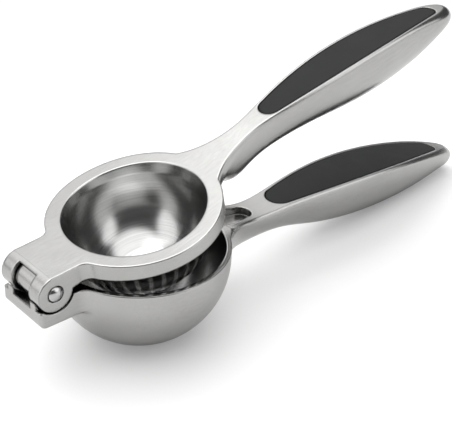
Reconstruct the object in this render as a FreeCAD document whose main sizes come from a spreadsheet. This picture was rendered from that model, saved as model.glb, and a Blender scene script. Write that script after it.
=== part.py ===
import FreeCAD, Part
import Sketcher
import math
import os

# Hinged lemon squeezer, in millimetres. Both arms are drawn about the hinge pin's axis, which
# is their common origin: +X runs to the handle ends, Y is along the pin, and Z is square to the
# arm's own rim. The placements at the end tilt the arms, so that the bowl's foot and the lower
# handle stand on the plane Z = 0, and lift the upper arm to its rest opening.

V = FreeCAD.Vector
doc = FreeCAD.newDocument("lemon_squeezer")
sheet = doc.addObject("Spreadsheet::Sheet", "sizes")

SIZES = [
    # stance
    ("rest_tilt", 3.2),            # degrees between the bowl's rim and the table
    ("rest_opening", 12.1),        # degrees between the two rims at rest
    ("foot_radius", 11.0),
    # hinge
    ("hinge_width", 25.0),
    ("slot_width", 11.7),
    ("ear_radius", 7.4),
    ("barrel_radius", 5.8),
    ("barrel_clearance", 0.7),
    ("side_clearance", 0.6),
    ("notch_clearance", 0.4),
    ("outer_notch_gap", 0.9),
    ("outer_notch_depth", 3.2),
    ("outer_notch_sill", 6.2),
    ("slot_edge_x", 1.9),
    ("pin_radius", 2.5),
    ("pin_press_clearance", 0.02),
    ("pin_running_clearance", 0.06),
    ("pin_head_radius", 3.1),
    ("pin_head_seat", 0.8),
    ("pin_seat_gap", 0.05),
    ("pin_head_dome", 1.3),
    ("pin_head_clearance", 0.3),
    ("hinge_block_front", 7.1),
    ("hinge_block_bottom", 13.6),
    ("hinge_block_round", 3.0),
    ("hinge_block_edge", 1.0),
    ("hinge_block_blend", 4.0),
    ("window_sill", 6.8),
    ("window_depth", 4.2),
    # upper ring and press cup
    ("ring_x", 47.1),
    ("ring_radius", 35.0),
    ("ring_underside", 1.8),
    ("ring_top", 4.3),
    ("hinge_side_radius", 350.0),
    ("neck_side_radius", 300.0),
    ("upper_turn_x", 105.0),
    ("upper_crown_radius", 329.0),
    ("cup_outer_radius", 30.2),
    ("cup_wall", 2.2),
    ("cup_centre_z", 0.4),
    ("tongue_web_radius", 4.5),
    ("mouth_flare", 1.4),
    ("mouth_height", 8.0),
    ("rib_height", 1.2),
    ("rib_width", 1.8),
    ("rib_count", 36.0),
    ("rib_reach", 24.0),
    # bowl
    ("bowl_x", 47.5),
    ("bowl_radius", 36.9),
    ("bowl_wall", 2.1),
    ("rim_drop", 3.1),
    ("rim_band", 4.0),
    ("drain_radius", 1.9),
    ("inner_drain_ring", 7.5),
    ("inner_drain_count", 6.0),
    ("outer_drain_ring", 15.5),
    ("outer_drain_count", 12.0),
    # lower neck and its pocket
    ("lower_dip_radius", 68.0),
    ("lower_turn_x", 118.0),
    ("lower_crown_x", 150.0),
    ("lower_crown_drop", 7.1),
    ("lower_crown_radius", 340.0),
    ("pocket_start_x", 82.0),
    ("pocket_start_half", 10.8),
    ("pocket_end_x", 101.3),
    ("pocket_end_radius", 5.1),
    ("pocket_depth", 9.0),
    # grip inlays
    ("inlay_depth", 2.5),
    ("inlay_gap", 0.05),
    ("inlay_set_down", 0.15),
    ("upper_inlay_start", 116.0),
    ("upper_inlay_end", 222.7),
    ("upper_inlay_heel", 5.4),
    ("upper_inlay_toe", 4.6),
    ("upper_inlay_side", 279.0),
    ("lower_inlay_start", 118.5),
    ("lower_inlay_end", 229.5),
    ("lower_inlay_heel", 6.9),
    ("lower_inlay_toe", 5.6),
    ("lower_inlay_side", 235.0),
]

# Handle stations: distance from the pin, half width, drop of the widest line below the top face,
# and how far the section would rise above that line and reaches below it.
UPPER_STATIONS = [
    ("root", 71.0, 23.0, 2.5, 7.0, 4.5), ("flare", 77.5, 16.0, 3.4, 9.2, 4.2),
    ("fork", 85.5, 9.9, 4.2, 11.4, 7.0), ("neck", 95.0, 6.5, 4.0, 9.2, 13.3),
    ("waist", 107.0, 5.1, 3.0, 6.9, 14.2), ("heel", 121.0, 6.9, 2.2, 5.6, 15.2),
    ("swell", 142.0, 9.7, 1.6, 4.6, 18.9), ("palm", 170.0, 10.9, 1.6, 4.8, 23.0),
    ("back", 197.0, 9.8, 1.8, 3.8, 21.0), ("tail", 214.0, 8.5, 2.2, 3.3, 15.6),
    ("toe", 226.0, 6.8, 3.4, 3.9, 8.2), ("tip", 231.0, 4.0, 4.2, 3.3, 4.6),
    ("end", 232.5, 1.5, 4.7, 1.3, 1.7),
]
LOWER_STATIONS = [
    ("root", 71.0, 27.5, 1.0, 4.0, 25.0), ("flare", 79.0, 19.6, 1.1, 3.4, 21.9),
    ("fork", 88.0, 13.6, 1.3, 3.4, 16.9), ("neck", 97.0, 9.5, 1.5, 3.6, 13.5),
    ("waist", 107.0, 7.9, 1.6, 3.8, 11.9), ("heel", 121.0, 8.8, 1.6, 4.0, 12.8),
    ("swell", 142.0, 11.6, 1.6, 4.8, 19.0), ("palm", 176.0, 13.5, 1.6, 5.0, 23.4),
    ("back", 203.0, 12.2, 1.8, 4.2, 20.3), ("tail", 221.0, 9.9, 2.2, 3.9, 14.8),
    ("toe", 233.5, 7.3, 3.0, 3.7, 9.4), ("tip", 240.0, 4.8, 3.7, 3.1, 5.8),
    ("end", 242.5, 1.9, 4.3, 1.4, 2.1),
]

row = 1
for name, value in SIZES:
    sheet.set("A%d" % row, name)
    sheet.set("B%d" % row, str(value))
    sheet.setAlias("B%d" % row, name)
    row += 1
for arm, stations in (("upper", UPPER_STATIONS), ("lower", LOWER_STATIONS)):
    for station in stations:
        for kind, value in zip(("x", "half", "drop", "rise", "deep"), station[1:]):
            alias = "%s_%s_%s" % (arm, station[0], kind)
            sheet.set("A%d" % row, alias)
            sheet.set("B%d" % row, str(value))
            sheet.setAlias("B%d" % row, alias)
            row += 1
doc.recompute()


def size(name):
    return float(sheet.get(name))


def bind(thing, path, text):
    """Tie a property to the sheet: names in braces are sheet cells."""
    thing.setExpression(path, text.replace("{", "sizes.").replace("}", ""))


def cylinder_y(name, radius, low, high, x="0", z="0"):
    """A cylinder along Y from y = low to y = high, its axis at x and z."""
    made = doc.addObject("Part::Cylinder", name)
    made.Placement = FreeCAD.Placement(V(0, 0, 0), FreeCAD.Rotation(V(1, 0, 0), -90))
    bind(made, "Radius", radius)
    bind(made, "Height", "(%s) - (%s)" % (high, low))
    bind(made, "Placement.Base.x", x)
    bind(made, "Placement.Base.y", low)
    bind(made, "Placement.Base.z", z)
    return made


def cylinder_z(name, radius, low, high, x="0", y="0"):
    made = doc.addObject("Part::Cylinder", name)
    bind(made, "Radius", radius)
    bind(made, "Height", "(%s) - (%s)" % (high, low))
    bind(made, "Placement.Base.x", x)
    bind(made, "Placement.Base.y", y)
    bind(made, "Placement.Base.z", low)
    return made


def box(name, low, high):
    """A box between two corners, each a triple of expressions."""
    made = doc.addObject("Part::Box", name)
    for axis, side, a, b in zip("xyz", ("Length", "Width", "Height"), low, high):
        bind(made, side, "(%s) - (%s)" % (b, a))
        bind(made, "Placement.Base." + axis, a)
    return made


def fuse(name, shapes):
    made = doc.addObject("Part::MultiFuse", name)
    made.Shapes = shapes
    return made


def cut(name, base, tool):
    made = doc.addObject("Part::Cut", name)
    made.Base = base
    made.Tool = tool
    return made


def common(name, shapes):
    made = doc.addObject("Part::MultiCommon", name)
    made.Shapes = shapes
    return made


def origin_plane(body, role):
    for feature in body.Origin.OriginFeatures:
        if feature.Role == role:
            return feature


def sketch_on(body, name, role):
    made = body.newObject("Sketcher::SketchObject", name)
    made.AttachmentSupport = [(origin_plane(body, role), "")]
    made.MapMode = "FlatFace"
    return made


def evaluate(text):
    """The present value of an expression of sheet cells."""
    return float(sheet.evalExpression(text.replace("{", "sizes.").replace("}", "")))


def place_point(sketch, geometry, point, at, fixed):
    """Fix a sketch point: fixed holds x, y, both or neither, and at holds two expressions."""
    for letter, kind, text in (("x", "DistanceX", at[0]), ("y", "DistanceY", at[1])):
        if letter in fixed:
            value = evaluate(text)
            sketch.addConstraint(Sketcher.Constraint(kind, -1, 1, geometry, point, value))
            bind(sketch, "Constraints[%d]" % (sketch.ConstraintCount - 1), text)


def outline(body, name, role, steps):
    """A closed outline on an origin plane. A step is a line, (start, fixed), or an arc,
    (start, fixed, centre, fixed, turn, radius), and runs to the next step's start. Turn is
    +1 anticlockwise and -1 clockwise; a radius of None follows from the end points."""
    sketch = sketch_on(body, name, role)
    starts = [(evaluate(step[0][0]), evaluate(step[0][1])) for step in steps]
    count = len(steps)
    heads = []
    for k, step in enumerate(steps):
        a = V(starts[k][0], starts[k][1], 0)
        b = V(starts[(k + 1) % count][0], starts[(k + 1) % count][1], 0)
        if len(step) == 2:
            sketch.addGeometry(Part.LineSegment(a, b), False)
            heads.append((1, 2))
            continue
        centre = V(evaluate(step[2][0]), evaluate(step[2][1]), 0)
        first = math.atan2(a.y - centre.y, a.x - centre.x)
        last = math.atan2(b.y - centre.y, b.x - centre.x)
        if step[4] < 0:
            first, last = last, first
        if last <= first:
            last += 2 * math.pi
        circle = Part.Circle(centre, V(0, 0, 1), a.distanceToPoint(centre))
        sketch.addGeometry(Part.ArcOfCircle(circle, first, last), False)
        heads.append((1, 2) if step[4] > 0 else (2, 1))
    for k, step in enumerate(steps):
        after = (k + 1) % count
        sketch.addConstraint(Sketcher.Constraint("Coincident", k, heads[k][1], after, heads[after][0]))
    for k, step in enumerate(steps):
        place_point(sketch, k, heads[k][0], step[0], step[1])
        if len(step) > 2:
            place_point(sketch, k, 3, step[2], step[3])
            if step[5]:
                sketch.addConstraint(Sketcher.Constraint("Radius", k, evaluate(step[5])))
                bind(sketch, "Constraints[%d]" % (sketch.ConstraintCount - 1), step[5])
    return sketch


def pad(body, sketch, length, midplane=True):
    made = body.newObject("PartDesign::Pad", body.Name + "_pad")
    made.Profile = sketch
    made.Midplane = midplane
    bind(made, "Length", length)
    return made


def ring_of(body, feature, count):
    """Repeat a feature round the body's own Z axis."""
    made = body.newObject("PartDesign::PolarPattern", body.Name + "_ring")
    made.Originals = [feature]
    made.Axis = (origin_plane(body, "Z_Axis"), [""])
    made.Angle = 360
    bind(made, "Occurrences", count)
    body.Tip = made
    return made


def rounded(name, base, radius_at):
    """Round each edge for which radius_at(edge) gives a radius."""
    doc.recompute()
    made = doc.addObject("Part::Fillet", name)
    made.Base = base
    wanted = [(k + 1, radius_at(edge)) for k, edge in enumerate(base.Shape.Edges)]
    made.Edges = [(k, radius, radius) for k, radius in wanted if radius]
    return made


HALF = "{hinge_width} / 2"
FAR_UP = "60"
FAR_DOWN = "-60"
BESIDE = "120"

# Top faces. Seen from the side, the upper arm's is two hollow arcs that meet at the ring's
# middle and a crowned arc over the handle. Each arc starts in line with the one before it.
UPPER_TURN = "({upper_turn_x} - {ring_x})"
UPPER_RISE = "({neck_side_radius} - sqrt({neck_side_radius}^2 - %s^2))" % UPPER_TURN
UPPER_TURN_Z = "({ring_top} + %s)" % UPPER_RISE
UPPER_PULL = "({upper_crown_radius} / {neck_side_radius})"
UPPER_CROWN_X = "({upper_turn_x} + %s * %s)" % (UPPER_TURN, UPPER_PULL)
UPPER_CROWN_Z = "(%s - ({neck_side_radius} - %s) * %s)" % (UPPER_TURN_Z, UPPER_RISE, UPPER_PULL)

# The lower arm's is level across the bowl, dips behind the rim and is crowned over the handle.
LOWER_CROWN_Z = "(-{lower_crown_drop} - {lower_crown_radius})"
LOWER_TURN = "({lower_crown_x} - {lower_turn_x})"
LOWER_RUN = "sqrt({lower_crown_radius}^2 - %s^2)" % LOWER_TURN
LOWER_TURN_Z = "(%s + %s)" % (LOWER_CROWN_Z, LOWER_RUN)
LOWER_PULL = "({lower_dip_radius} / {lower_crown_radius})"
LOWER_DIP_X = "({lower_turn_x} - %s * %s)" % (LOWER_TURN, LOWER_PULL)
LOWER_DIP_Z = "(%s + %s * %s)" % (LOWER_TURN_Z, LOWER_RUN, LOWER_PULL)
LOWER_DIP_START = "(%s - sqrt({lower_dip_radius}^2 - (%s + {rim_drop})^2))" % (LOWER_DIP_X, LOWER_DIP_Z)


def top_height(arm, x):
    """Height of an arm's top face at a distance from the pin."""
    if arm == "upper":
        if x < size("upper_turn_x"):
            radius = size("neck_side_radius")
            return size("ring_top") + radius - math.sqrt(radius ** 2 - (x - size("ring_x")) ** 2)
        radius = size("upper_crown_radius")
        return evaluate(UPPER_CROWN_Z) + math.sqrt(radius ** 2 - (x - evaluate(UPPER_CROWN_X)) ** 2)
    if x < evaluate(LOWER_DIP_START):
        return -size("rim_drop")
    if x < size("lower_turn_x"):
        radius = size("lower_dip_radius")
        return evaluate(LOWER_DIP_Z) - math.sqrt(radius ** 2 - (x - evaluate(LOWER_DIP_X)) ** 2)
    radius = size("lower_crown_radius")
    return evaluate(LOWER_CROWN_Z) + math.sqrt(radius ** 2 - (x - size("lower_crown_x")) ** 2)


def above_upper_arm():
    """Everything over the upper arm's top face."""
    body = doc.addObject("PartDesign::Body", "above_upper_arm")
    hollow = "({ring_top} + {%s})"
    steps = [
        (("-40", FAR_UP), "xy"),
        (("-40", "{ring_top}"), "x", ("{ring_x}", hollow % "hinge_side_radius"), "xy", 1,
         "{hinge_side_radius}"),
        (("{ring_x}", "{ring_top}"), "x", ("{ring_x}", hollow % "neck_side_radius"), "xy", 1, None),
        (("{upper_turn_x}", UPPER_TURN_Z), "x", (UPPER_CROWN_X, UPPER_CROWN_Z), "xy", -1, None),
        (("260", UPPER_TURN_Z), "x"),
        (("260", FAR_UP), "xy"),
    ]
    side = outline(body, "upper_side", "XZ_Plane", steps)
    pad(body, side, BESIDE)
    return body


def above_lower_arm():
    """Everything over the lower arm's top face."""
    body = doc.addObject("PartDesign::Body", "above_lower_arm")
    steps = [
        (("-40", FAR_UP), "xy"),
        (("-40", "-{rim_drop}"), "xy"),
        ((LOWER_DIP_START, "-{rim_drop}"), "xy", (LOWER_DIP_X, LOWER_DIP_Z), "xy", 1, None),
        (("{lower_turn_x}", LOWER_TURN_Z), "x", ("{lower_crown_x}", LOWER_CROWN_Z), "xy", -1, None),
        (("260", LOWER_TURN_Z), "x"),
        (("260", FAR_UP), "xy"),
    ]
    side = outline(body, "lower_side", "XZ_Plane", steps)
    pad(body, side, BESIDE)
    return body


def half_ellipse(start, crest, end, half, high):
    """Half an ellipse across the arm, through the unit points start, crest and end."""
    stretch = FreeCAD.Matrix()
    stretch.scale(1, half, high)
    return Part.Arc(start, crest, end).toShape().transformGeometry(stretch).Edges[0]


def handle(arm, stations):
    """A neck and handle, lofted through sections whose rounded shoulders meet the top face."""
    rings = []
    near, far = V(0, -1, 0), V(0, 1, 0)
    for station in stations:
        own = "%s_%s_" % (arm, station[0])
        over = half_ellipse(near, V(0, 0, 1), far, size(own + "half"), size(own + "rise"))
        under = half_ellipse(far, V(0, 0, -1), near, size(own + "half"), size(own + "deep"))
        ring = doc.addObject("Part::Feature", own + "section")
        ring.Shape = Part.Wire([over, under])
        x = size(own + "x")
        height = top_height(arm, x) - size(own + "drop")
        ring.Placement = FreeCAD.Placement(V(x, 0, height), FreeCAD.Rotation())
        rings.append(ring)
    made = doc.addObject("Part::Loft", arm + "_handle_loft")
    made.Sections = rings
    made.Solid = True
    return made


def leaf(name, arm, grow):
    """The inlay's pointed oval seen from above: two round ends and two long side arcs."""
    body = doc.addObject("PartDesign::Body", name)
    sketch = sketch_on(body, name + "_leaf", "XY_Plane")
    heel = "({%s_inlay_heel} + %s)" % (arm, grow)
    toe = "({%s_inlay_toe} + %s)" % (arm, grow)
    side = "({%s_inlay_side} + %s)" % (arm, grow)
    heel_x = "({%s_inlay_start} + {%s_inlay_heel})" % (arm, arm)
    toe_x = "({%s_inlay_end} - {%s_inlay_toe})" % (arm, arm)
    r1, r2, r3 = evaluate(heel), evaluate(toe), evaluate(side)
    x1, x2 = evaluate(heel_x), evaluate(toe_x)
    span = x2 - x1
    along = (span ** 2 + (r3 - r1) ** 2 - (r3 - r2) ** 2) / (2 * span)
    drop = math.sqrt((r3 - r1) ** 2 - along ** 2)
    middle = x1 + along
    start = math.atan2(drop, x1 - middle)
    end = math.atan2(drop, x2 - middle)
    up = V(0, 0, 1)
    arcs = [
        (V(middle, -drop, 0), r3, end, start),
        (V(x1, 0, 0), r1, start, 2 * math.pi - start),
        (V(middle, drop, 0), r3, -start, -end),
        (V(x2, 0, 0), r2, -end, end),
    ]
    for centre, radius, first, last in arcs:
        sketch.addGeometry(Part.ArcOfCircle(Part.Circle(centre, up, radius), first, last), False)
    for k in range(4):
        sketch.addConstraint(Sketcher.Constraint("Tangent", k, 2, (k + 1) % 4, 1))
    for k, text in ((0, side), (1, heel), (2, side), (3, toe)):
        sketch.addConstraint(Sketcher.Constraint("Radius", k, evaluate(text)))
        bind(sketch, "Constraints[%d]" % (sketch.ConstraintCount - 1), text)
    place_point(sketch, 1, 3, (heel_x, "0"), "xy")
    place_point(sketch, 3, 3, (toe_x, "0"), "xy")
    pad(body, sketch, BESIDE)
    return body


def crown(name, arm, inset):
    """A drum whose rim runs a set distance under an arm's crowned top face."""
    if arm == "upper":
        return cylinder_y(name, "{upper_crown_radius} - (%s)" % inset, "-30", "30",
                          UPPER_CROWN_X, UPPER_CROWN_Z)
    return cylinder_y(name, "{lower_crown_radius} - (%s)" % inset, "-30", "30",
                      "{lower_crown_x}", LOWER_CROWN_Z)


def grip(arm):
    """The soft inlay, and the tool that cuts its recess."""
    pocket = cut(arm + "_recess", leaf(arm + "_recess_leaf", arm, "{inlay_gap}"),
                 crown(arm + "_recess_floor", arm, "{inlay_depth}"))
    slab = common(arm + "_inlay_slab", [leaf(arm + "_inlay_leaf", arm, "0"),
                                        crown(arm + "_inlay_top", arm, "{inlay_set_down}")])
    piece = cut(arm + "_inlay", slab, crown(arm + "_inlay_floor", arm, "{inlay_depth}"))
    return piece, pocket


def pin():
    """The rivet: a plain shank with a domed head in each ear."""
    body = doc.addObject("PartDesign::Body", "hinge_pin")
    seat = "({hinge_width} / 2 - {pin_head_seat} + {pin_seat_gap})"
    face = "({hinge_width} / 2)"
    crest = "({hinge_width} / 2 + {pin_head_dome})"
    bend = "(({pin_head_radius}^2 + {pin_head_dome}^2) / (2 * {pin_head_dome}))"
    steps = [
        (("0", "-" + crest), "xy", ("0", "-%s + %s" % (crest, bend)), "x", 1, None),
        (("{pin_head_radius}", "-" + face), "xy"),
        (("{pin_head_radius}", "-" + seat), "xy"),
        (("{pin_radius}", "-" + seat), "xy"),
        (("{pin_radius}", seat), "xy"),
        (("{pin_head_radius}", seat), "xy"),
        (("{pin_head_radius}", face), "xy", ("0", "%s - %s" % (crest, bend)), "x", 1, None),
        (("0", crest), "xy"),
    ]
    profile = outline(body, "pin_profile", "XY_Plane", steps)
    turned = body.newObject("PartDesign::Revolution", "pin_turned")
    turned.Profile = profile
    turned.ReferenceAxis = (profile, ["V_Axis"])
    turned.Angle = 360
    return body


def press_ribs():
    """Upright ribs round the press cup, which fade into it towards the bottom."""
    body = doc.addObject("PartDesign::Body", "press_rib_blades")
    inner = "({cup_outer_radius} * 0.6)"
    outer = "({cup_outer_radius} + 2 * {rib_height})"
    steps = [
        ((inner, "-{ring_underside} / 2"), "xy"),
        ((inner, "-{rib_reach}"), "xy"),
        ((outer, "-{rib_reach}"), "xy"),
        ((outer, "-{ring_underside} / 2"), "xy"),
    ]
    blade = pad(body, outline(body, "rib_blade", "XZ_Plane", steps), "{rib_width}")
    ring_of(body, blade, "{rib_count}")
    bind(body, "Placement.Base.x", "{ring_x}")
    swell = doc.addObject("Part::Sphere", "rib_swell")
    bind(swell, "Radius", "{cup_outer_radius} + {rib_height}")
    bind(swell, "Placement.Base.x", "{ring_x}")
    bind(swell, "Placement.Base.z", "{cup_centre_z} + {rib_height}")
    return common("press_ribs", [body, swell])


def sphere(name, radius, x, z, lower_half=False):
    made = doc.addObject("Part::Sphere", name)
    bind(made, "Radius", radius)
    bind(made, "Placement.Base.x", x)
    bind(made, "Placement.Base.z", z)
    if lower_half:
        made.Angle2 = 0
    return made


def upper_arm(recess):
    """Ears, tongue, ring, press cup, neck and handle in one casting."""
    ears = cylinder_y("ear_barrel", "{ear_radius}", "-" + HALF, HALF)
    tongue = box("tongue", ("0", "-" + HALF, "-{ring_underside}"), ("{ring_x}", HALF, "30"))
    ring = cylinder_z("ring_blank", "{ring_radius}", "-{ring_underside}", "30", "{ring_x}")
    stock = fuse("upper_stock", [ears, tongue, ring, handle("upper", UPPER_STATIONS)])
    faced = cut("upper_faced", stock, above_upper_arm())
    half = size("hinge_width") / 2

    def tongue_corner(edge):
        around = edge.BoundBox
        if (max(around.XLength, around.YLength) < 0.1 and around.ZLength > 4
                and abs(abs(around.Center.y) - half) < 0.1 and around.Center.x > 5):
            return size("tongue_web_radius")
    webbed = rounded("upper_webbed", faced, tongue_corner)
    cup = sphere("cup_outside", "{cup_outer_radius}", "{ring_x}", "{cup_centre_z}", True)
    cupped = fuse("upper_cupped", [webbed, cup, press_ribs()])

    hollow = sphere("cup_inside", "{cup_outer_radius} - {cup_wall}", "{ring_x}", "{cup_centre_z}")
    mouth = doc.addObject("Part::Cone", "cup_mouth")
    bind(mouth, "Radius1", "{cup_outer_radius} - {cup_wall}")
    bind(mouth, "Radius2", "{cup_outer_radius} - {cup_wall} + {mouth_flare}")
    bind(mouth, "Height", "{mouth_height}")
    bind(mouth, "Placement.Base.x", "{ring_x}")
    bind(mouth, "Placement.Base.z", "{cup_centre_z}")

    reach = "({barrel_radius} + {barrel_clearance})"
    side = "({slot_width} / 2)"
    slot = fuse("slot", [
        cylinder_y("slot_barrel", reach, "-" + side, side),
        box("slot_front", ("-30", "-" + side, FAR_DOWN), ("-{slot_edge_x}", side, FAR_UP)),
        box("slot_below", ("-30", "-" + side, FAR_DOWN),
            ("{ear_radius} + {barrel_clearance}", side, "0")),
    ])
    bore = cylinder_y("ear_bore", "{pin_radius} + {pin_running_clearance}", "-" + HALF, HALF)
    sinks = []
    for name, low, high in (("near", "-" + HALF, "-" + HALF + " + {pin_head_seat}"),
                            ("far", HALF + " - {pin_head_seat}", HALF)):
        sinks.append(cylinder_y("head_sink_" + name, "{pin_head_radius} + {pin_head_clearance}",
                                low, high))
    tools = fuse("upper_cuts", [hollow, mouth, slot, bore, recess] + sinks)
    return cut("upper_arm", cupped, tools)


def drain(name, ring_radius, count):
    """A ring of round holes straight down through the bowl."""
    body = doc.addObject("PartDesign::Body", name)
    sketch = sketch_on(body, name + "_hole", "XY_Plane")
    sketch.addGeometry(Part.Circle(V(evaluate(ring_radius), 0, 0), V(0, 0, 1), 2), False)
    sketch.addConstraint(Sketcher.Constraint("Radius", 0, 2.0))
    bind(sketch, "Constraints[0]", "{drain_radius}")
    place_point(sketch, 0, 3, (ring_radius, "0"), "xy")
    ring_of(body, pad(body, sketch, BESIDE), count)
    bind(body, "Placement.Base.x", "{bowl_x}")
    return body


def lower_arm(recess):
    """Hinge block with its barrel, bowl, neck and handle in one casting."""
    centre_z = "(-{rim_drop} - {rim_band})"
    bowl = sphere("bowl_outside", "{bowl_radius}", "{bowl_x}", centre_z, True)
    band = cylinder_z("bowl_band", "{bowl_radius}", centre_z, "0", "{bowl_x}")
    block = box("hinge_block", ("-{hinge_block_front}", "-" + HALF, "-{hinge_block_bottom}"),
                ("{bowl_x} / 2", HALF, "0"))
    front = -size("hinge_block_front")
    bottom = -size("hinge_block_bottom")

    half = size("hinge_width") / 2

    def block_edge(edge):
        around = edge.BoundBox
        at_front = around.XMax < front + 0.1
        at_bottom = around.ZMax < bottom + 0.1
        if at_front and at_bottom:
            return size("hinge_block_round")
        if (at_front and around.YLength < 0.1) or (at_bottom and around.YLength < 0.1):
            return size("hinge_block_edge")
    nosed = rounded("hinge_block_nosed", block, block_edge)
    cast = fuse("bowl_and_block", [bowl, band, nosed])

    def block_side(edge):
        around = edge.BoundBox
        if (around.YLength < 0.1 and abs(abs(around.Center.y) - half) < 0.1 and around.Center.x > 8
                and around.ZMax < 0.1 and around.XLength < 10):
            return size("hinge_block_blend")
    blended = rounded("hinge_block_blended", cast, block_side)
    stock = fuse("lower_stock", [blended, handle("lower", LOWER_STATIONS)])
    faced = cut("lower_faced", stock, above_lower_arm())

    inner = "({slot_width} / 2 - {side_clearance})"
    outer = "(%s - {outer_notch_depth})" % HALF
    beyond = "(%s + 1)" % HALF
    notches = []
    for name, sign in (("near", -1), ("far", 1)):
        for part, radius, a, b in (("inner", "{ear_radius} + {notch_clearance}", inner, beyond),
                                   ("outer", "{ear_radius} + {outer_notch_gap}", outer, beyond)):
            low, high = (a, b) if sign > 0 else ("-" + b, "-" + a)
            notches.append(cylinder_y("notch_%s_%s" % (name, part), radius, low, high))
        low, high = (outer, beyond) if sign > 0 else ("-" + beyond, "-" + outer)
        notches.append(box("notch_sill_" + name, ("-30", low, "-{outer_notch_sill}"), ("0", high, "30")))
    window = box("window", ("-30", "-{slot_width} / 2", "-{window_sill}"),
                 ("-{hinge_block_front} + {window_depth}", "{slot_width} / 2", "30"))
    cavity = fuse("bowl_cavity", [
        sphere("bowl_inside", "{bowl_radius} - {bowl_wall}", "{bowl_x}", centre_z, True),
        cylinder_z("bowl_mouth", "{bowl_radius} - {bowl_wall}", centre_z, "30", "{bowl_x}"),
    ])

    scoop = cut("neck_scoop", neck_pocket(), cylinder_z("pocket_stop", "{bowl_radius}",
                                                        FAR_DOWN, FAR_UP, "{bowl_x}"))
    barrel = cylinder_y("barrel", "{barrel_radius}", "-" + inner, inner)
    tools = fuse("lower_cuts", notches + [window, cavity, scoop, recess, under_foot(centre_z),
                                          drain("inner_drain", "{inner_drain_ring}", "{inner_drain_count}"),
                                          drain("outer_drain", "{outer_drain_ring}", "{outer_drain_count}")])
    hollowed = cut("lower_hollowed", faced, tools)
    hinged = fuse("lower_hinged", [hollowed, barrel])
    bore = cylinder_y("barrel_bore", "{pin_radius} + {pin_press_clearance}", "-" + HALF, HALF)
    return cut("lower_arm", hinged, bore)


def neck_pocket():
    """The scoop in the lower neck, behind the bowl, that narrows to a round end."""
    body = doc.addObject("PartDesign::Body", "pocket_scoop")
    end = "{pocket_end_radius}"
    steps = [
        (("{bowl_x}", "-{pocket_start_half}"), "xy"),
        (("{pocket_start_x}", "-{pocket_start_half}"), "xy"),
        (("{pocket_end_x}", "-" + end), "xy", ("{pocket_end_x}", "0"), "xy", 1, None),
        (("{pocket_end_x}", end), "x"),
        (("{pocket_start_x}", "{pocket_start_half}"), "xy"),
        (("{bowl_x}", "{pocket_start_half}"), "xy"),
    ]
    scoop = outline(body, "pocket_outline", "XY_Plane", steps)
    made = pad(body, scoop, "{pocket_depth}", False)
    bind(body, "Placement.Base.z", "-{rim_drop} - {pocket_depth}")
    return body


def under_foot(centre_z):
    """Everything below the flat under the bowl, which is level when the arm stands at rest."""
    made = doc.addObject("Part::Cylinder", "under_foot")
    made.Placement = FreeCAD.Placement(V(0, 0, 0), FreeCAD.Rotation(V(0, 1, 0), 180 - size("rest_tilt")))
    bind(made, "Radius", "{bowl_radius}")
    bind(made, "Height", "20")
    drop = "sqrt({bowl_radius}^2 - {foot_radius}^2)"
    bind(made, "Placement.Base.x", "{bowl_x} + %s * sin({rest_tilt})" % drop)
    bind(made, "Placement.Base.z", "%s - %s * cos({rest_tilt})" % (centre_z, drop))
    return made


upper_grip, upper_recess = grip("upper")
lower_grip, lower_recess = grip("lower")
upper = upper_arm(upper_recess)
lower = lower_arm(lower_recess)
rivet = pin()
doc.recompute()

# The foot's centre is the origin of the standing squeezer, and the lower arm's frame, with
# the pin and the lower inlay in it, leans back by the rest tilt.
tilt = math.radians(size("rest_tilt"))
drop = math.sqrt(size("bowl_radius") ** 2 - size("foot_radius") ** 2)
foot = V(size("bowl_x") + drop * math.sin(tilt), 0,
         -size("rim_drop") - size("rim_band") - drop * math.cos(tilt))
lean = FreeCAD.Rotation(V(0, 1, 0), size("rest_tilt"))
hinge = lean.multVec(foot) * -1
standing = FreeCAD.Placement(hinge, lean)
lifted = FreeCAD.Placement(hinge, FreeCAD.Rotation(V(0, 1, 0), size("rest_tilt") - size("rest_opening")))

PIECES = [
    ("lower_arm", lower, standing),
    ("upper_arm", upper, lifted),
    ("hinge_pin", rivet, standing),
    ("lower_grip", lower_grip, standing),
    ("upper_grip", upper_grip, lifted),
]
for label, piece, placement in PIECES:
    piece.Label = label
    piece.Placement = placement
doc.recompute()

for thing in doc.Objects:
    if "Invalid" in thing.State or "Error" in thing.State:
        raise RuntimeError("%s failed: %s" % (thing.Label, thing.State))
os.makedirs("parts", exist_ok=True)
for label, piece, placement in PIECES:
    shape = piece.Shape
    if shape.isNull() or not shape.isValid():
        raise RuntimeError("%s has no valid shape" % label)
    if len(shape.Solids) != 1:
        raise RuntimeError("%s has %d solids" % (label, len(shape.Solids)))
    print("%-12s %8.0f mm3, %d faces" % (label, shape.Volume, len(shape.Faces)))
    shape.exportStep("parts/%s.step" % label)
print("hinge axis at x %.3f, z %.3f" % (hinge.x, hinge.z))
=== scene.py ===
"""Finishes and studio for a hinged lemon squeezer. Every length is in metres."""

import math

import bpy
from mathutils import Matrix, Vector

bl_info = {
    "name": "Hinged Lemon Squeezer",
    "version": (1, 0, 0),
    "blender": (4, 5, 0),
    "location": "3D View > Sidebar > Squeezer",
    "description": "Dresses a two-handled lemon squeezer and its studio",
    "category": "Object",
}

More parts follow.
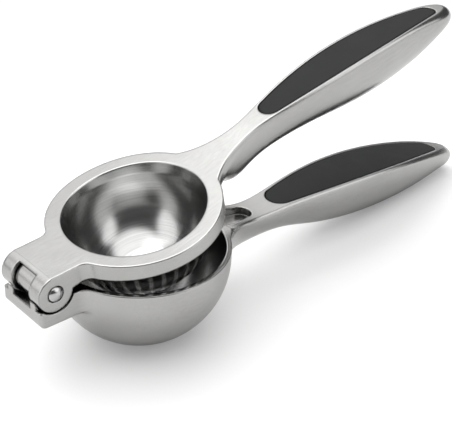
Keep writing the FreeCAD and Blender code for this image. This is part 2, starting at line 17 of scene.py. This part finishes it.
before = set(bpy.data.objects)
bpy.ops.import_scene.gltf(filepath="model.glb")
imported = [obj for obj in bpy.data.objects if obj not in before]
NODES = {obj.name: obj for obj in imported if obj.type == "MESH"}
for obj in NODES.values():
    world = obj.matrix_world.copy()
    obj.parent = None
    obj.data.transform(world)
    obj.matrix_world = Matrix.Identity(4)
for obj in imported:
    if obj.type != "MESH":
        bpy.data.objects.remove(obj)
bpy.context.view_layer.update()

# Centres of the press cup's and the bowl's rounds, the tilt of their rims about Y, and the radius
# inside which their steel is polished.
CUP = ((-0.00056, 0.0, 0.05265), math.radians(-8.9), 0.0291)
BOWL = ((0.0, 0.0, 0.0352), math.radians(3.2), 0.0358)
POLISH_BLEND = 0.0002

# The press cup's ribs: how many, the height of the ring's underside over the cup's centre, how far past the
# polished radius they stand, and the span of their wave over which painted groove shade turns into painted
# crest highlight.
RIB_COUNT = 36
RIB_TOP = -0.0022
RIB_REACH = 0.0026
RIB_CREST = (-0.1, 0.75)

# Noise per metre of each finish. The brushing runs along X.
CLOUD_GRAIN = 60.0
BRUSH_GRAIN = (70.0, 2400.0, 2400.0)
TURNED_GRAIN = 2400.0
PIN_CLOUD_GRAIN = 260.0
PIN_TURNED_GRAIN = 900.0
PIN_STRETCH = (1.0, 14.0, 1.0)
SPARK_GRAIN = 3800.0
HANDLED_GRAIN = 90.0
PAPER_GRAIN = 700.0

# Hollows: how far a surface looks for its neighbours, and how open it is where it's darkest and lightest.
HOLLOW_REACH = 0.012
HOLLOW_BAND = (0.16, 0.68)
HOLLOW_SHADE = 0.1

# How well the softened and the true normal agree right at an edge, and beside it.
EDGE_BAND = (0.8, 0.985)
SHADER_SAMPLES = 8

FLOOR_SIZE = 12.0
FLOOR_CENTRE = (0.06, 0.0, 0.0)
PAPER_FADE = (0.20, 0.42)
OVERHEAD_PLACE = (-0.05, 0.30, 0.80)
OVERHEAD_AIM = (0.04, 0.0, 0.03)
OVERHEAD_SIZE = (0.9, 0.6)
SENSOR_WIDTH = 36.0
CAMERA_CLIP = (0.01, 20.0)

# Each glow of the room: azimuth, elevation, bright core and outer edge in degrees, and its strength's name.
GLOWS = (
    (0, 90, 30, 42, "top_glow"),
    (157, 24, 23, 35, "side_glow"),
    (-54, 26, 19, 31, "side_glow"),
    (74, 40, 22, 52, "back_glow"),
)

WHITE = (1.0, 1.0, 1.0, 1.0)


def grey(value):
    return (value, value, value, 1.0)


# ---------------------------------------------------------------- node helpers


class Graph:
    """Adds shader nodes to one tree. A value is linked if it's a socket, and set if not."""

    def __init__(self, owner):
        owner.use_nodes = True
        self.tree = owner.node_tree
        self.tree.nodes.clear()

    def feed(self, socket, value):
        if isinstance(value, bpy.types.NodeSocket):
            self.tree.links.new(value, socket)
        else:
            socket.default_value = value

    def add(self, kind, values=None, **settings):
        node = self.tree.nodes.new(kind)
        for key, value in settings.items():
            setattr(node, key, value)
        for key, value in (values or {}).items():
            self.feed(node.inputs[key], value)
        return node

    def maths(self, operation, *values):
        return self.add("ShaderNodeMath", dict(enumerate(values)), operation=operation).outputs[0]

    def product(self, *values):
        total = values[0]
        for value in values[1:]:
            total = self.maths("MULTIPLY", total, value)
        return total

    def ramp(self, value, low, high, start, end):
        node = self.add(
            "ShaderNodeMapRange",
            {"Value": value, "From Min": low, "From Max": high, "To Min": start, "To Max": end},
            interpolation_type="SMOOTHSTEP",
        )
        return node.outputs["Result"]

    def spread(self, noise, start, end, low=0.3, high=0.7):
        """Spread the middle band of a noise over a range of values."""
        return self.ramp(noise, low, high, start, end)

    def mix(self, factor, first, second, kind="RGBA"):
        node = self.add("ShaderNodeMix", data_type=kind)
        for key, value in (("Factor", factor), ("A", first), ("B", second)):
            self.feed(next(s for s in node.inputs if s.name == key and s.enabled), value)
        return next(s for s in node.outputs if s.enabled)

    def mix_values(self, factor, first, second):
        return self.mix(factor, first, second, "FLOAT")

    def place(self, centre=(0, 0, 0), tilt=0.0):
        """Object coordinates about a centre, level with a rim tilted about Y."""
        coords = self.add("ShaderNodeTexCoord").outputs["Object"]
        node = self.add(
            "ShaderNodeMapping",
            {"Vector": coords, "Location": centre, "Rotation": (0, tilt, 0)},
            vector_type="TEXTURE",
        )
        return node.outputs[0]

    def stretched(self, vector, scale):
        return self.add("ShaderNodeMapping", {"Vector": vector, "Scale": scale}).outputs[0]

    def noise(self, vector, scale, detail, roughness):
        node = self.add(
            "ShaderNodeTexNoise",
            {"Vector": vector, "Scale": scale, "Detail": detail, "Roughness": roughness},
        )
        return node.outputs["Fac"]

    def soft_edge(self, radius):
        return self.add("ShaderNodeBevel", {"Radius": radius}, samples=SHADER_SAMPLES).outputs[0]

    def near_edge(self, softened):
        """From 1 right at an edge to 0 away from it."""
        true = self.add("ShaderNodeNewGeometry").outputs["Normal"]
        facing = self.add("ShaderNodeVectorMath", {0: softened, 1: true}, operation="DOT_PRODUCT")
        return self.ramp(facing.outputs["Value"], *EDGE_BAND, 1.0, 0.0)

    def openness(self):
        """From the hollow shade in tight hollows to 1 in the open."""
        node = self.add(
            "ShaderNodeAmbientOcclusion", {"Distance": HOLLOW_REACH}, samples=SHADER_SAMPLES
        )
        return self.ramp(node.outputs["AO"], *HOLLOW_BAND, HOLLOW_SHADE, 1.0)

    def bump(self, height, strength, distance, normal):
        values = {"Strength": strength, "Distance": distance, "Height": height, "Normal": normal}
        return self.add("ShaderNodeBump", values).outputs[0]

    def surface(self, values):
        shader = self.add("ShaderNodeBsdfPrincipled", values)
        self.add("ShaderNodeOutputMaterial", {"Surface": shader.outputs[0]})


# ---------------------------------------------------------------- finishes


def rib_painted_light(graph, place, reach, inside, polished, finish):
    """Painted shade in the grooves and a painted highlight on the crests of the ribs under the press cup,
    and 1 everywhere else.
    """
    x, y, z = place
    below = graph.ramp(z, RIB_TOP - 0.0003, RIB_TOP + 0.0001, 1.0, 0.0)
    limit = polished + RIB_REACH
    around = graph.ramp(reach, limit, limit + POLISH_BLEND, 1.0, 0.0)
    outside = graph.maths("SUBTRACT", 1.0, inside)
    turn = graph.maths("MULTIPLY", graph.maths("ARCTAN2", y, x), float(RIB_COUNT))
    wave = graph.maths("COSINE", turn)
    # The rib wave runs from the painted groove shade to the painted crest highlight.
    crest = graph.ramp(wave, *RIB_CREST, finish.groove_shade, finish.painted_crest_highlight)
    return graph.mix_values(graph.product(below, graph.product(around, outside)), 1.0, crest)


def edge_painted_light(graph, softened, finish):
    """Painted shade as a dark line right at an edge and a painted highlight on the steel beside it."""
    edge = graph.near_edge(softened)
    beside = graph.ramp(edge, 0.0, 0.35, 0.0, 1.0)
    shine = graph.maths("MULTIPLY_ADD", beside, finish.painted_edge_highlight, 1.0)
    corner = graph.ramp(edge, 0.45, 0.95, 0.0, 1.0)
    line = graph.maths("MULTIPLY_ADD", corner, -finish.painted_edge_shade, 1.0)
    return graph.product(shine, line)


def satin_steel(name, centre, tilt, polished, finish, ribbed=False):
    """Cast steel, satin outside and polished inside the cup or the bowl, with painted shade in its hollows,
    between its ribs and right at its edges, and painted highlights on the rib crests and beside the edges.
    """
    material = bpy.data.materials.new(name)
    graph = Graph(material)
    local = graph.place(centre, tilt)
    place = graph.add("ShaderNodeSeparateXYZ", {0: local}).outputs
    x, y, z = place
    flat = graph.maths("ADD", graph.product(x, x), graph.product(y, y))
    radius = graph.maths("SQRT", flat)
    under = graph.maths("MINIMUM", z, 0.0)
    reach = graph.maths("SQRT", graph.maths("ADD", flat, graph.product(under, under)))
    inside = graph.ramp(reach, polished - POLISH_BLEND, polished + POLISH_BLEND, 1.0, 0.0)

    cloud = graph.noise(local, CLOUD_GRAIN, 3.0, 0.55)
    brushed = graph.noise(graph.stretched(local, BRUSH_GRAIN), 1.0, 3.0, 0.55)
    swirl = graph.add("ShaderNodeCombineXYZ", {0: radius, 2: z}).outputs[0]
    turned = graph.noise(swirl, TURNED_GRAIN, 3.0, 0.6)
    softened = graph.soft_edge(finish.edge_round)

    streaks = graph.mix_values(
        inside, graph.spread(brushed, 0.955, 1.04), graph.spread(turned, 0.88, 1.06)
    )
    level = graph.product(graph.spread(cloud, 0.97, 1.03, high=0.72), streaks)
    # Painted shade and highlight from the ribs, the edges and the hollows scale the steel's level.
    if ribbed:
        level = graph.product(level, rib_painted_light(graph, place, reach, inside, polished, finish))
    level = graph.product(level, edge_painted_light(graph, softened, finish), graph.openness())
    base = graph.mix(inside, finish.satin_colour, finish.polish_colour)
    tinted = graph.add("ShaderNodeVectorMath", {0: base, 1: level}, operation="MULTIPLY")

    satin, polish = finish.satin_roughness, finish.polish_roughness
    rough_satin = graph.spread(cloud, satin - 0.015, satin + 0.015)
    rough_inside = graph.spread(turned, polish - 0.02, polish + 0.03)
    height = graph.mix_values(inside, brushed, turned)
    graph.surface(
        {
            "Base Color": tinted.outputs[0],
            "Metallic": 1.0,
            "Roughness": graph.mix_values(inside, rough_satin, rough_inside),
            "Normal": graph.bump(height, 0.05, 0.00005, softened),
        }
    )
    return material


def polished_steel(name, finish):
    """The turned and polished pin."""
    material = bpy.data.materials.new(name)
    graph = Graph(material)
    local = graph.place()
    cloud = graph.noise(local, PIN_CLOUD_GRAIN, 3.0, 0.6)
    turned = graph.noise(graph.stretched(local, PIN_STRETCH), PIN_TURNED_GRAIN, 2.0, 0.5)
    rough = finish.pin_roughness
    graph.surface(
        {
            "Base Color": graph.mix(graph.spread(cloud, 0.0, 1.0), grey(0.46), grey(0.56)),
            "Metallic": 1.0,
            "Roughness": graph.spread(cloud, rough - 0.04, rough + 0.06),
            "Normal": graph.bump(turned, 0.12, 0.00005, graph.soft_edge(finish.edge_round)),
        }
    )
    return material


def matt_rubber(name, finish):
    """Moulded matt black inlay with a fine spark texture and faint handling marks, and painted shade
    darkening it along its edges.
    """
    material = bpy.data.materials.new(name)
    graph = Graph(material)
    local = graph.place()
    spark = graph.noise(local, SPARK_GRAIN, 3.0, 0.7)
    cloud = graph.noise(local, HANDLED_GRAIN, 4.0, 0.6)
    worn = graph.spread(cloud, 0.0, 1.0, 0.25, 0.75)
    softened = graph.soft_edge(2.0 * finish.edge_round)
    # Painted shade: a near-black, less shiny band along the inlay's edges stands for the shadowed gap to
    # the steel.
    painted_gap_shade = graph.near_edge(softened)
    tone = graph.mix(worn, finish.rubber_colour, finish.rubber_worn)
    graph.surface(
        {
            "Base Color": graph.mix(painted_gap_shade, tone, grey(0.002)),
            "Roughness": graph.spread(cloud, 0.56, 0.68, 0.25, 0.75),
            "Specular IOR Level": graph.ramp(painted_gap_shade, 0.0, 1.0, 0.26, 0.02),
            "Normal": graph.bump(spark, 0.35, 0.00008, softened),
        }
    )
    return material


def studio_floor(name, studio):
    """White paper sweep: it keeps the squeezer's shadow and fades to plain white far away."""
    material = bpy.data.materials.new(name)
    graph = Graph(material)
    rays = graph.add("ShaderNodeLightPath").outputs
    camera = rays["Is Camera Ray"]
    mirrored = graph.maths("MAXIMUM", rays["Is Glossy Ray"], rays["Is Transmission Ray"])
    seen = graph.maths("MAXIMUM", camera, mirrored)
    local = graph.place()
    x, y, _ = graph.add("ShaderNodeSeparateXYZ", {0: local}).outputs
    flat = graph.maths("ADD", graph.product(x, x), graph.product(y, y))
    far = graph.product(graph.ramp(graph.maths("SQRT", flat), *PAPER_FADE, 0.0, 1.0), seen)

    fibre = graph.spread(graph.noise(local, PAPER_GRAIN, 3.0, 0.6), 0.0, 1.0)
    paper = graph.mix(fibre, grey(studio.floor_level - 0.01), grey(studio.floor_level))
    diffuse = graph.add("ShaderNodeBsdfDiffuse", {"Color": paper}).outputs[0]
    amount = graph.product(camera, studio.floor_lift)
    lift = graph.add("ShaderNodeEmission", {"Color": WHITE, "Strength": amount}).outputs[0]
    lifted = graph.add("ShaderNodeAddShader", {0: diffuse, 1: lift}).outputs[0]
    plain = graph.add("ShaderNodeEmission", {"Color": WHITE, "Strength": 1.0}).outputs[0]
    final = graph.add("ShaderNodeMixShader", {0: far, 1: lifted, 2: plain}).outputs[0]
    graph.add("ShaderNodeOutputMaterial", {"Surface": final})
    return material


def dress(node, material):
    mesh = NODES[node].data
    if not mesh.materials:
        mesh.materials.append(material)
    for index in range(len(mesh.materials)):
        mesh.materials[index] = material


# ---------------------------------------------------------------- settings


class SqueezerFinish(bpy.types.PropertyGroup):
    satin_colour: bpy.props.FloatVectorProperty(
        name="Satin steel", description="Colour of the satin outside", subtype="COLOR",
        size=4, min=0.0, max=1.0, default=(0.445, 0.442, 0.434, 1.0),
    )
    polish_colour: bpy.props.FloatVectorProperty(
        name="Polished steel", description="Colour inside the cup and the bowl", subtype="COLOR",
        size=4, min=0.0, max=1.0, default=(0.51, 0.51, 0.505, 1.0),
    )
    satin_roughness: bpy.props.FloatProperty(
        name="Satin roughness", description="Roughness of the satin outside",
        default=0.22, min=0.05, max=1.0, subtype="FACTOR",
    )
    polish_roughness: bpy.props.FloatProperty(
        name="Polished roughness", description="Roughness inside the cup and the bowl",
        default=0.19, min=0.05, max=1.0, subtype="FACTOR",
    )
    pin_roughness: bpy.props.FloatProperty(
        name="Pin roughness", description="Roughness of the turned pin",
        default=0.15, min=0.05, max=1.0, subtype="FACTOR",
    )
    # Painted shade in the grooves and painted highlight on the crests of the press cup's ribs.
    groove_shade: bpy.props.FloatProperty(
        name="Groove shade", description="Brightness of the grooves between the press cup's ribs",
        default=0.2, min=0.0, max=1.0, subtype="FACTOR",
    )
    painted_crest_highlight: bpy.props.FloatProperty(
        name="Rib shine", description="Brightness of the painted highlight on the press cup's rib crests",
        default=1.6, min=0.0, max=2.0,
    )
    # Painted highlight beside the steel's edges and painted shade right at them.
    painted_edge_highlight: bpy.props.FloatProperty(
        name="Edge shine", description="How much brighter the steel is beside its edges, as a painted highlight",
        default=0.18, min=0.0, max=1.0, subtype="FACTOR",
    )
    painted_edge_shade: bpy.props.FloatProperty(
        name="Edge line", description="How much darker the steel is right at its edges",
        default=0.5, min=0.0, max=1.0, subtype="FACTOR",
    )
    edge_round: bpy.props.FloatProperty(
        name="Edge rounding", description="How far the edges catch the light as if rounded",
        default=0.0012, min=0.0, max=0.005, precision=5, subtype="DISTANCE", unit="LENGTH",
    )
    rubber_colour: bpy.props.FloatVectorProperty(
        name="Rubber", description="Colour of the inlays", subtype="COLOR",
        size=4, min=0.0, max=1.0, default=(0.009, 0.009, 0.0095, 1.0),
    )
    rubber_worn: bpy.props.FloatVectorProperty(
        name="Handled rubber", description="Colour where hands have dulled the inlays", subtype="COLOR",
        size=4, min=0.0, max=1.0, default=(0.015, 0.015, 0.0155, 1.0),
    )


class SqueezerStudio(bpy.types.PropertyGroup):
    camera_place: bpy.props.FloatVectorProperty(
        name="Camera", description="Place of the camera", size=3, subtype="TRANSLATION", unit="LENGTH",
        default=(-0.213763, -0.299212, 0.290004),
    )
    camera_turn: bpy.props.FloatVectorProperty(
        name="View", description="Azimuth, elevation and roll of the camera", size=3, subtype="EULER",
        default=(math.radians(-40.956), math.radians(32.932), math.radians(-0.482)),
    )
    lens: bpy.props.FloatProperty(
        name="Lens", description="Focal length on a 36 mm wide sensor, in millimetres",
        default=89.161, min=20.0, max=300.0,
    )
    floor_level: bpy.props.FloatProperty(
        name="Paper", description="Brightness of the paper",
        default=0.82, min=0.1, max=1.0, subtype="FACTOR",
    )
    floor_lift: bpy.props.FloatProperty(
        name="Paper lift", description="Plain white added to what the camera sees of the paper",
        default=0.2, min=0.0, max=1.0,
    )
    room_floor: bpy.props.FloatProperty(
        name="Room", description="Strength of the room's light between the glows",
        default=0.09, min=0.0, max=3.0,
    )
    top_glow: bpy.props.FloatProperty(
        name="Top glow", description="Strength of the glow overhead",
        default=1.65, min=0.0, max=10.0,
    )
    side_glow: bpy.props.FloatProperty(
        name="Side glow", description="Strength of the glows left and right of the camera",
        default=1.5, min=0.0, max=10.0,
    )
    back_glow: bpy.props.FloatProperty(
        name="Back glow", description="Strength of the glow behind the squeezer",
        default=1.15, min=0.0, max=10.0,
    )
    key_power: bpy.props.FloatProperty(
        name="Key light", description="Power of the overhead soft light, in watts",
        default=1.0, min=0.0, max=500.0,
    )


# ---------------------------------------------------------------- operators


class SQUEEZER_OT_steel(bpy.types.Operator):
    """Give both arms and the pin their steel"""

    bl_idname = "squeezer.steel"
    bl_label = "Steel"

    def execute(self, context):
        finish = context.scene.squeezer_finish
        dress("upper_arm", satin_steel("satin_steel_upper", *CUP, finish, ribbed=True))
        dress("lower_arm", satin_steel("satin_steel_lower", *BOWL, finish))
        dress("hinge_pin", polished_steel("polished_pin", finish))
        return {"FINISHED"}


class SQUEEZER_OT_grips(bpy.types.Operator):
    """Give the handle inlays their matt rubber"""

    bl_idname = "squeezer.grips"
    bl_label = "Grips"

    def execute(self, context):
        rubber = matt_rubber("matt_rubber", context.scene.squeezer_finish)
        dress("upper_grip", rubber)
        dress("lower_grip", rubber)
        return {"FINISHED"}


class SQUEEZER_OT_studio(bpy.types.Operator):
    """Make the paper, the room's glows, the overhead light and the camera"""

    bl_idname = "squeezer.studio"
    bl_label = "Studio"

    def execute(self, context):
        studio = context.scene.squeezer_studio
        self.floor(context, studio)
        self.room(context, studio)
        self.overhead(context, studio)
        self.camera(context, studio)
        context.scene.view_settings.view_transform = "Standard"
        return {"FINISHED"}

    def floor(self, context, studio):
        bpy.ops.object.select_all(action="DESELECT")
        bpy.ops.mesh.primitive_plane_add(size=FLOOR_SIZE, location=FLOOR_CENTRE)
        floor = context.active_object
        floor.name = "paper_floor"
        bpy.ops.object.transform_apply(location=True, rotation=False, scale=False)
        floor.data.materials.append(studio_floor("white_paper", studio))

    def room(self, context, studio):
        world = bpy.data.worlds.new("studio_room")
        graph = Graph(world)
        camera = graph.add("ShaderNodeLightPath").outputs["Is Camera Ray"]
        direction = graph.add("ShaderNodeTexCoord").outputs["Generated"]
        level = studio.room_floor
        for azimuth, elevation, core, edge, strength in GLOWS:
            around, above = math.radians(azimuth), math.radians(elevation)
            aim = (
                math.cos(around) * math.cos(above),
                math.sin(around) * math.cos(above),
                math.sin(above),
            )
            facing = graph.add("ShaderNodeVectorMath", {0: direction, 1: aim}, operation="DOT_PRODUCT")
            rim, heart = math.cos(math.radians(edge)), math.cos(math.radians(core))
            glow = graph.ramp(facing.outputs["Value"], rim, heart, 0.0, getattr(studio, strength))
            level = graph.maths("ADD", glow, level)
        room = graph.add("ShaderNodeBackground", {"Color": WHITE, "Strength": level}).outputs[0]
        plain = graph.add("ShaderNodeBackground", {"Color": WHITE, "Strength": 1.0}).outputs[0]
        shown = graph.add("ShaderNodeMixShader", {0: camera, 1: room, 2: plain}).outputs[0]
        graph.add("ShaderNodeOutputWorld", {"Surface": shown})
        context.scene.world = world

    def overhead(self, context, studio):
        light = bpy.data.lights.new("overhead", "AREA")
        light.shape = "RECTANGLE"
        light.size, light.size_y = OVERHEAD_SIZE
        light.energy = studio.key_power
        lamp = bpy.data.objects.new("overhead", light)
        lamp.location = OVERHEAD_PLACE
        lamp.rotation_mode = "QUATERNION"
        aim = Vector(OVERHEAD_AIM) - Vector(OVERHEAD_PLACE)
        lamp.rotation_quaternion = aim.to_track_quat("-Z", "Y")
        context.scene.collection.objects.link(lamp)

    def camera(self, context, studio):
        azimuth, elevation, roll = studio.camera_turn
        back = Vector(
            (
                math.sin(azimuth) * math.cos(elevation),
                -math.cos(azimuth) * math.cos(elevation),
                math.sin(elevation),
            )
        )
        level = Vector((math.cos(azimuth), math.sin(azimuth), 0.0))
        above = back.cross(level)
        right = level * math.cos(roll) + above * math.sin(roll)
        upward = above * math.cos(roll) - level * math.sin(roll)
        turn = Matrix((right, upward, back)).transposed()
        camera = bpy.data.objects.new("photo_camera", bpy.data.cameras.new("photo_camera"))
        camera.data.lens = studio.lens
        camera.data.sensor_width = SENSOR_WIDTH
        camera.data.clip_start, camera.data.clip_end = CAMERA_CLIP
        camera.matrix_world = Matrix.Translation(Vector(studio.camera_place)) @ turn.to_4x4()
        context.scene.collection.objects.link(camera)
        context.scene.camera = camera


class SQUEEZER_PT_panel(bpy.types.Panel):
    """Lists the squeezer's finishes and studio settings with the buttons that apply them"""

    bl_idname = "SQUEEZER_PT_panel"
    bl_label = "Lemon Squeezer"
    bl_space_type = "VIEW_3D"
    bl_region_type = "UI"
    bl_category = "Squeezer"

    def draw(self, context):
        layout = self.layout
        for name in SqueezerFinish.__annotations__:
            layout.prop(context.scene.squeezer_finish, name)
        layout.operator(SQUEEZER_OT_steel.bl_idname)
        layout.operator(SQUEEZER_OT_grips.bl_idname)
        for name in SqueezerStudio.__annotations__:
            layout.prop(context.scene.squeezer_studio, name)
        layout.operator(SQUEEZER_OT_studio.bl_idname)


CLASSES = (
    SqueezerFinish,
    SqueezerStudio,
    SQUEEZER_OT_steel,
    SQUEEZER_OT_grips,
    SQUEEZER_OT_studio,
    SQUEEZER_PT_panel,
)


def register():
    for item in CLASSES:
        bpy.utils.register_class(item)
    bpy.types.Scene.squeezer_finish = bpy.props.PointerProperty(type=SqueezerFinish)
    bpy.types.Scene.squeezer_studio = bpy.props.PointerProperty(type=SqueezerStudio)


def unregister():
    del bpy.types.Scene.squeezer_studio
    del bpy.types.Scene.squeezer_finish
    for item in reversed(CLASSES):
        bpy.utils.unregister_class(item)


def main():
    register()
    bpy.ops.squeezer.steel()
    bpy.ops.squeezer.grips()
    bpy.ops.squeezer.studio()


if __name__ == "__main__":
    main()
